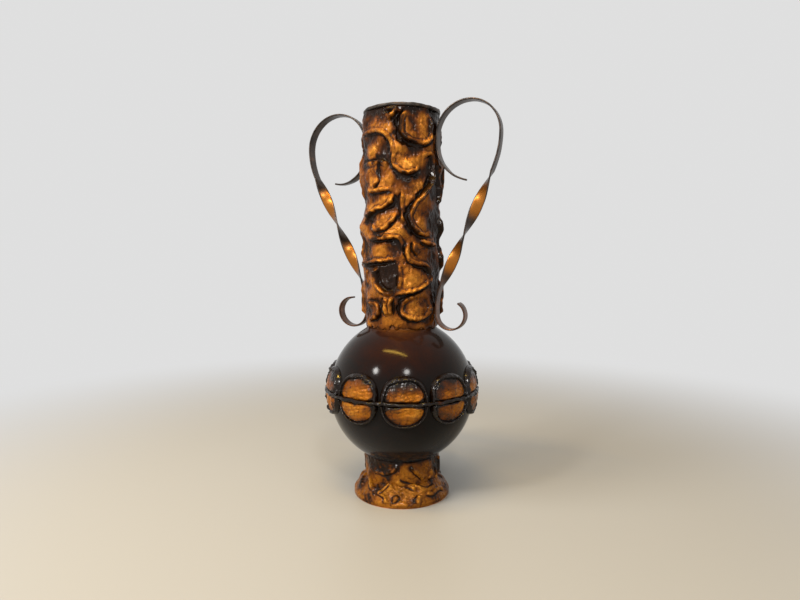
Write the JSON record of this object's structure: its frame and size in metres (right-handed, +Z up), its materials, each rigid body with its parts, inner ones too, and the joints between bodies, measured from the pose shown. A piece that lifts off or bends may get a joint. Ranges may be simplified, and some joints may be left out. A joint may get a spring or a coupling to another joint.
{
  "type": "urn vase",
  "caption": "Urn vase with a globe body on a bell foot, a tall relief-covered neck, a belt of lobes round the globe and twisted strip handles.",
  "frame": {"origin": "on the axis of the vase, at the level that the foot stands on", "axes": "+Z up along the axis of the neck, handles along X with the wider loop on -X, Y across the handles"},
  "size_m": [0.2284, 0.1716, 0.4253],
  "materials": {
    "lacquered_copper": "polished",
    "bare_copper": "satin",
    "blackened_copper": "satin",
    "handle_copper": "satin",
    "bronzed_crust": "satin",
    "dark_crust": "satin"
  },
  "bodies": {
    "root": {"back_medallion_01": "bronzed_crust", "back_medallion_02": "bronzed_crust", "back_medallion_03": "bronzed_crust", "back_medallion_04": "bronzed_crust", "back_medallion_05": "bronzed_crust", "back_medallion_06": "bronzed_crust", "back_medallion_07": "bronzed_crust", "back_medallion_08": "bronzed_crust", "back_medallion_09": "bronzed_crust", "back_medallion_10": "bronzed_crust", "back_medallion_11": "bronzed_crust", "back_medallion_12": "bronzed_crust", "equator_cord": "dark_crust", "foot_shell": "bare_copper", "foot_skin": "bronzed_crust", "foot_veins": "bronzed_crust", "front_medallion_01": "bronzed_crust", "front_medallion_02": "bronzed_crust", "front_medallion_03": "bronzed_crust", "front_medallion_04": "bronzed_crust", "front_medallion_05": "bronzed_crust", "front_medallion_06": "bronzed_crust", "front_medallion_07": "bronzed_crust", "front_medallion_08": "bronzed_crust", "front_medallion_09": "bronzed_crust", "front_medallion_10": "bronzed_crust", "front_medallion_11": "bronzed_crust", "front_medallion_12": "bronzed_crust", "globe_lower": "lacquered_copper", "globe_upper": "lacquered_copper", "handle_lugs": "bare_copper", "left_handle": "handle_copper", "lower_lobe_01": "bronzed_crust", "lower_lobe_02": "bronzed_crust", "lower_lobe_03": "bronzed_crust", "lower_lobe_04": "bronzed_crust", "lower_lobe_05": "bronzed_crust", "lower_lobe_06": "bronzed_crust", "lower_lobe_07": "bronzed_crust", "lower_lobe_08": "bronzed_crust", "lower_lobe_09": "bronzed_crust", "lower_lobe_10": "bronzed_crust", "neck_folds": "bronzed_crust", "neck_skin": "bronzed_crust", "neck_tube": "bare_copper", "right_handle": "handle_copper", "rim_ring": "blackened_copper", "upper_lobe_01": "bronzed_crust", "upper_lobe_02": "bronzed_crust", "upper_lobe_03": "bronzed_crust", "upper_lobe_04": "bronzed_crust", "upper_lobe_05": "bronzed_crust", "upper_lobe_06": "bronzed_crust", "upper_lobe_07": "bronzed_crust", "upper_lobe_08": "bronzed_crust", "upper_lobe_09": "bronzed_crust", "upper_lobe_10": "bronzed_crust"}
  },
  "joints": []
}
